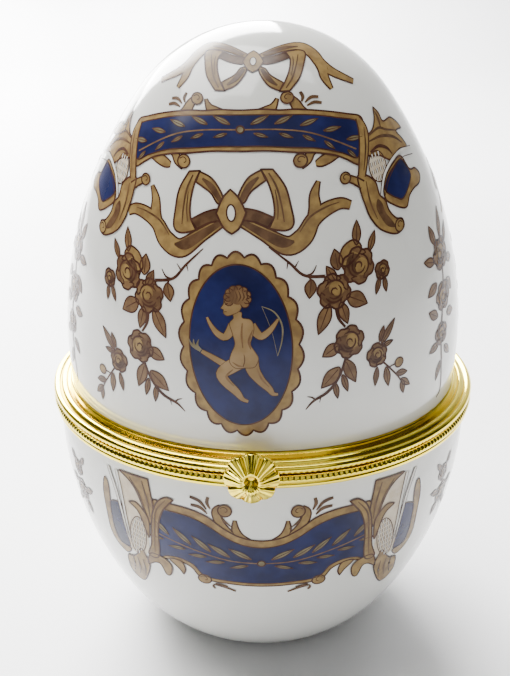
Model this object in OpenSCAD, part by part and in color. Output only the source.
// Egg-shaped porcelain trinket box: a bowl and a domed lid of glazed porcelain, each with
// a gilt brass rim cemented round its mouth, a barrel hinge behind and a snap catch in front.
// Millimetres, +Z up. The origin is the centre of the foot, on the surface the box stands on.
// The hinge is on the +Y side and the rosette of the catch is on the -Y side.

/* [Bowl] */
// Height from the foot to the plane where the two rims meet
base_h = 47.5; // [40:0.5:60]
// Widest outer radius of the bowl
base_r = 37; // [31:0.5:46]
// Depth of the widest place below the parting plane
base_belly = 5; // [2:0.5:8]
// How much smaller than the widest radius the radius of the round lower end is
base_taper = 4; // [3:0.5:8]
// Length of the round end that the flat foot cuts away
foot_cut = 6; // [5:0.5:8]
// Thickness of the bowl's floor
floor_t = 4; // [3.5:0.5:6]
// Width of the ring that the bowl stands on
foot_ring_w = 3.5; // [2.5:0.5:5]
// Depth of the recess under the foot
foot_recess_h = 0.8; // [0.3:0.1:1.5]

/* [Lid] */
// Height from the parting plane to the crown
lid_h = 61; // [50:0.5:75]
// Widest outer radius of the lid
lid_r = 34.8; // [30:0.1:42]
// Height of the lid's widest place above the parting plane
lid_belly = 8; // [3:0.5:12]
// How much smaller than the widest radius the radius of the crown is
lid_taper = 9.5; // [7:0.1:13]

/* [Porcelain] */
// Thickness of the porcelain wall
wall = 3; // [2.4:0.1:4]
// Depth of the unglazed rebate that takes the rim
rebate = 0.45; // [0.3:0.05:0.8]
// Thickness of the cement between porcelain and rim
cement_t = 0.2; // [0.1:0.05:0.4]

/* [Rims] */
// Gap between the two closed rims
rim_gap = 0.3; // [0.2:0.05:0.6]
// How far the rims stand out past the widest porcelain
rim_proud = 1; // [0.8:0.1:3]
// Thickness of the sheet brass of the rims
rim_t = 0.6; // [0.4:0.05:0.8]
// Radius of the milled edge of each rim
edge_r = 0.65; // [0.5:0.05:0.8]
// Height of the upper rim's collar
upper_collar_h = 2; // [1.7:0.1:3]
// Height of the lower rim's collar
lower_collar_h = 2.1; // [1.9:0.1:3]
// Radius of the smooth moulding on the upper rim
moulding_r = 0.75; // [0.6:0.05:0.9]
// Radius of the round lip under the lower rim
lip_r = 0.5; // [0.3:0.05:0.6]

/* [Hinge] */
// Width of the hinge, over its three knuckles
hinge_w = 10; // [8:0.5:14]
// Width of the middle knuckle
middle_w = 3.4; // [2.5:0.1:4]
// Outer radius of the knuckles
knuckle_r = 1.2; // [1:0.05:1.3]
// Radius of the hinge pin
pin_r = 0.45; // [0.35:0.05:0.6]
// Radial clearance of the pin in the middle knuckle
pin_clearance = 0.05; // [0.02:0.01:0.08]
// Clearance between hinge pieces that pass each other
hinge_clearance = 0.2; // [0.15:0.05:0.3]
// Distance of the pin's axis behind the rim's outer edge
pin_behind = 0.7; // [0.7:0.1:1.2]
// Thickness of the hinge leaves
leaf_t = 0.6; // [0.5:0.1:0.8]
// Depth of the flats filed on the rims for the hinge
hinge_flat = 0.7; // [0.6:0.1:0.9]
// Angle at which the stop holds the open lid
open_deg = 95; // [80:1:100]
// Reach of the stop tooth from the pin's axis
tooth_reach = 1.8; // [1.6:0.1:2]
// Thickness of the stop tooth
tooth_t = 0.6; // [0.4:0.1:0.8]

/* [Catch] */
// Width of the spring tongue
tongue_w = 5; // [4:0.5:6]
// Thickness of the spring tongue
tongue_t = 0.5; // [0.3:0.05:0.6]
// Depth of the flat filed on the upper rim for the tongue
tongue_flat = 0.4; // [0.3:0.05:0.5]
// Radius of the tongue's stud
stud_r = 0.6; // [0.5:0.05:0.7]
// Radius of the stud's riveted shank
shank_r = 0.4; // [0.3:0.05:0.45]
// Clearance between the stud and the tongue
catch_clearance = 0.05; // [0.02:0.01:0.1]
// Depth that the stud's face stands back from the lower rim's edge behind the tongue
stud_flat = 0.8; // [0.7:0.05:0.9]
// Outer radius of the rosette
rosette_r = 4.1; // [3.5:0.1:5]
// Number of petals of the rosette
petals = 8; // [6:1:12]
// Thickness of the rosette's petals at their tips
petal_t = 0.8; // [0.6:0.1:1]
// Depth of the whole rosette, from its back to its crest
rosette_depth = 2.4; // [2:0.1:3]
// Radius of the crest ring round the rosette's dimple
crest_ring_r = 1.5; // [1.2:0.1:1.8]
// Radius of the crest's round section
crest_r = 0.9; // [0.6:0.1:1.1]

/* [Hidden] */
$fn = 96;

// Round ends, foot, rims and mouths
base_round_r = base_r - base_taper;
crown_r = lid_r - lid_taper;
foot_r = sqrt(pow(base_round_r, 2) - pow(base_round_r - foot_cut, 2));
half_gap = rim_gap / 2;
cut = 5;
mouth_drop = half_gap + rim_t + cement_t;
base_tip = base_h + foot_cut;
lower_rebate_h = half_gap + lower_collar_h + cement_t;
upper_rebate_h = half_gap + upper_collar_h + cement_t;
base_neck_r = egg_r(base_r, base_round_r, base_tip, base_belly, lower_rebate_h) - rebate;
lid_neck_r = egg_r(lid_r, crown_r, lid_h, lid_belly, upper_rebate_h) - rebate;
base_mouth_r = egg_r(base_r, base_round_r, base_tip, base_belly, mouth_drop, wall);
lid_mouth_r = egg_r(lid_r, crown_r, lid_h, lid_belly, mouth_drop, wall);
moulding_lap = 0.1;
rim_r = max(base_r + rim_proud,
            lid_neck_r + cement_t + rim_t + 2 * (moulding_r + edge_r - moulding_lap));

lip_back = 0.2;
lip_x = rim_r - lip_back - lip_r;
lip_z = half_gap + lower_collar_h - lip_r;

// Hinge
pin_y = rim_r + pin_behind;
hinge_flat_y = rim_r - hinge_flat;
bore_r = pin_r + pin_clearance;
pin_head_step = 0.35;
pin_head_t = 0.3;
leaf_step = 0.15;
leaf_edge = half_gap + leaf_step;
ledge_top = knuckle_r + hinge_clearance;
ledge_t = 0.6;
tooth_gap = 0.05;

// Catch
tongue_y = rim_r - tongue_flat;
stud_y = rim_r - stud_flat;
stud_drop = 1.2;
rosette_y = tongue_y + tongue_t;
tongue_lap = 1.4;
tongue_top = half_gap + tongue_lap;
tongue_bottom = half_gap + lower_collar_h;
petal_fullness = 0.78;
petal_r = rosette_r * sin(180 / petals) * petal_fullness;

// Radius of the long side arc of an egg half that meets its round end smoothly
function side_r(max_r, round_r, tip, belly) =
    (pow(max_r, 2) + pow(tip - belly - round_r, 2) - pow(round_r, 2))
    / (2 * (max_r - round_r));

// Radius of an egg half at a distance d from the parting plane, on its side arc
function egg_r(max_r, round_r, tip, belly, d, inset = 0) =
    max_r - side_r(max_r, round_r, tip, belly)
    + sqrt(pow(side_r(max_r, round_r, tip, belly) - inset, 2) - pow(d - belly, 2));

// Half section of an egg half: X is the radius, Y runs from the parting plane to the tip
module egg_half(max_r, round_r, tip, belly, inset = 0) {
    arc_r = side_r(max_r, round_r, tip, belly);
    round_y = tip - round_r;
    join_y = belly + (round_y - belly) * (arc_r - inset) / (arc_r - round_r);
    intersection() {
        translate([max_r - arc_r, belly]) circle(arc_r - inset);
        square([max_r, join_y]);
    }
    intersection() {
        translate([0, round_y]) circle(round_r - inset);
        translate([0, join_y]) square([max_r, tip]);
    }
}

module bowl_half(inset = 0) {
    translate([0, base_h]) mirror([0, 1])
        egg_half(base_r, base_round_r, base_tip, base_belly, inset);
}

module dome_half(inset = 0) {
    translate([0, base_h]) egg_half(lid_r, crown_r, lid_h, lid_belly, inset);
}

// Porcelain bowl with a flat foot, an open mouth and a rebate for the rim
module base_bowl() {
    color("white") rotate_extrude() difference() {
        intersection() {
            bowl_half();
            square([base_r, base_h - mouth_drop]);
        }
        intersection() {
            bowl_half(wall);
            translate([0, floor_t]) square([base_r, base_h]);
        }
        translate([base_neck_r, base_h - lower_rebate_h]) square([base_r, base_h]);
        square([foot_r - foot_ring_w, foot_recess_h]);
    }
}

// Porcelain lid with the same kind of mouth
module lid_dome() {
    color("white") rotate_extrude() difference() {
        intersection() {
            dome_half();
            translate([0, base_h + mouth_drop]) square([lid_r, lid_h]);
        }
        dome_half(wall);
        translate([lid_neck_r, 0]) square([lid_r, base_h + upper_rebate_h]);
    }
}

// Half section of the cement under a rim, drawn upwards from the rim's inner face
module cement_section(mouth_r, neck_r, rebate_h) {
    translate([mouth_r, half_gap + rim_t])
        square([neck_r + cement_t - mouth_r, cement_t]);
    translate([neck_r, mouth_drop]) square([cement_t, rebate_h - mouth_drop]);
}

module base_cement() {
    color("ivory") translate([0, 0, base_h]) rotate_extrude() mirror([0, 1])
        cement_section(base_mouth_r, base_neck_r, lower_rebate_h);
}

module lid_cement() {
    color("ivory") translate([0, 0, base_h]) rotate_extrude()
        cement_section(lid_mouth_r, lid_neck_r, upper_rebate_h);
}

// Half section that both rims share: a flat web under the mouth, a collar round the neck,
// a shelf out to the edge, and the round edge that is milled
module rim_section(mouth_r, neck_r, collar_h) {
    collar_r = neck_r + cement_t;
    edge_x = rim_r - edge_r;
    translate([mouth_r, half_gap]) square([edge_x - mouth_r, rim_t]);
    translate([collar_r, half_gap]) square([rim_t, collar_h]);
    translate([collar_r, half_gap]) square([edge_x - collar_r, edge_r]);
    translate([edge_x, half_gap + edge_r]) circle(edge_r);
}

module lower_rim() {
    color("gold") difference() {
        translate([0, 0, base_h]) rotate_extrude() mirror([0, 1]) {
            rim_section(base_mouth_r, base_neck_r, lower_collar_h);
            translate([base_neck_r + cement_t, lip_z - lip_r])
                square([lip_x - base_neck_r - cement_t, 2 * lip_r]);
            translate([lip_x, lip_z]) circle(lip_r);
        }
        hinge_flats();
        front_flat(stud_y, tongue_w + 1);
        stud_shank();
    }
}

module upper_rim() {
    color("gold") difference() {
        translate([0, 0, base_h]) rotate_extrude() {
            rim_section(lid_mouth_r, lid_neck_r, upper_collar_h);
            translate([rim_r - 2 * edge_r - moulding_r + moulding_lap, half_gap + moulding_r])
                circle(moulding_r);
        }
        hinge_flats();
        front_flat(tongue_y, tongue_w);
    }
}

// Flats filed on the rims: behind for the hinge leaves, in front for the catch
module hinge_flats() {
    translate([-hinge_w / 2 - hinge_clearance, hinge_flat_y, base_h - cut])
        cube([hinge_w + 2 * hinge_clearance, cut, 2 * cut]);
}

module front_flat(y, w) {
    translate([-w / 2, -y - cut, base_h - cut]) cube([w, cut, 2 * cut]);
}

// A cylinder along the hinge's axis, from x0 to x1
module along_pin(r, x0, x1) {
    translate([x0, pin_y, base_h]) rotate([0, 90, 0]) cylinder(r = r, h = x1 - x0);
}

// Lower leaf: plate, two outer knuckles and the ledge that stops the tooth
module hinge_lower_leaf() {
    knuckle_w = (hinge_w - middle_w) / 2;
    color("goldenrod") difference() {
        union() {
            translate([-hinge_w / 2, hinge_flat_y, base_h - half_gap - lower_collar_h])
                cube([hinge_w, leaf_t, lower_collar_h - leaf_edge + half_gap]);
            translate([-middle_w / 2, hinge_flat_y, base_h - ledge_top - ledge_t])
                cube([middle_w, pin_y - hinge_flat_y - tooth_t / 2 - tooth_gap, ledge_t]);
            for (side = [-1, 1]) {
                x0 = side < 0 ? -hinge_w / 2 : middle_w / 2;
                along_pin(knuckle_r, x0, x0 + knuckle_w);
                translate([x0, hinge_flat_y, base_h - knuckle_r])
                    cube([knuckle_w, pin_y - hinge_flat_y, knuckle_r - leaf_edge]);
            }
        }
        along_pin(pin_r, -hinge_w, hinge_w);
        along_pin(knuckle_r + hinge_clearance, -middle_w / 2, middle_w / 2);
    }
}

// Upper leaf: plate, the middle knuckle and its stop tooth
module hinge_upper_leaf() {
    knuckle_w = middle_w - 2 * hinge_clearance;
    color("goldenrod") difference() {
        union() {
            difference() {
                translate([-hinge_w / 2, hinge_flat_y, base_h + leaf_edge])
                    cube([hinge_w, leaf_t, upper_collar_h + half_gap - leaf_edge]);
                for (side = [-1, 1])
                    along_pin(knuckle_r + hinge_clearance,
                              side < 0 ? -hinge_w : knuckle_w / 2,
                              side < 0 ? -knuckle_w / 2 : hinge_w);
            }
            along_pin(knuckle_r, -knuckle_w / 2, knuckle_w / 2);
            translate([-knuckle_w / 2, hinge_flat_y, base_h + leaf_edge])
                cube([knuckle_w, pin_y - hinge_flat_y, knuckle_r - leaf_edge]);
            intersection() {
                along_pin(tooth_reach, -knuckle_w / 2, knuckle_w / 2);
                translate([-knuckle_w / 2, pin_y, base_h]) rotate([open_deg - 90, 0, 0])
                    translate([0, 0, -tooth_t / 2]) cube([knuckle_w, cut, tooth_t]);
            }
        }
        along_pin(bore_r, -hinge_w, hinge_w);
    }
}

// Pin with a peened head at each end, tight in the outer knuckles
module hinge_pin() {
    color("darkgoldenrod") {
        along_pin(pin_r, -hinge_w / 2, hinge_w / 2);
        along_pin(pin_r + pin_head_step, -hinge_w / 2 - pin_head_t, -hinge_w / 2);
        along_pin(pin_r + pin_head_step, hinge_w / 2, hinge_w / 2 + pin_head_t);
    }
}

module stud_shank() {
    translate([0, -stud_y, base_h - stud_drop]) rotate([-90, 0, 0])
        cylinder(r = shank_r, h = stud_y - base_neck_r - cement_t);
}

// Stud riveted in the lower rim, whose round head the tongue snaps over
module catch_stud() {
    head_y = tongue_y - catch_clearance - stud_r;
    color("goldenrod") {
        stud_shank();
        intersection() {
            translate([0, -head_y, base_h - stud_drop]) sphere(stud_r);
            front_flat(stud_y, tongue_w);
        }
    }
}

// Spring tongue soldered to the upper rim, hanging over the stud
module clasp_tongue() {
    color("goldenrod")
        translate([-tongue_w / 2, -tongue_y - tongue_t, base_h - tongue_bottom])
            cube([tongue_w, tongue_t, tongue_bottom + tongue_top]);
}

// Cast rosette soldered to the front of the tongue
module clasp_rosette() {
    petal_ring_r = rosette_r - petal_r;
    color("gold") translate([0, -rosette_y, base_h]) rotate([90, 0, 0]) {
        linear_extrude(petal_t) {
            circle(petal_ring_r);
            for (i = [0:petals - 1])
                rotate(i * 360 / petals) translate([petal_ring_r, 0]) circle(petal_r);
        }
        rotate_extrude() {
            polygon([[0, 0], [petal_ring_r, 0], [petal_ring_r, petal_t],
                     [crest_ring_r, rosette_depth - crest_r / 2],
                     [0, rosette_depth - crest_r]]);
            translate([crest_ring_r, rosette_depth - crest_r]) circle(crest_r);
        }
    }
}

base_bowl();
base_cement();
lower_rim();
hinge_lower_leaf();
hinge_pin();
catch_stud();
lid_dome();
lid_cement();
upper_rim();
hinge_upper_leaf();
clasp_tongue();
clasp_rosette();
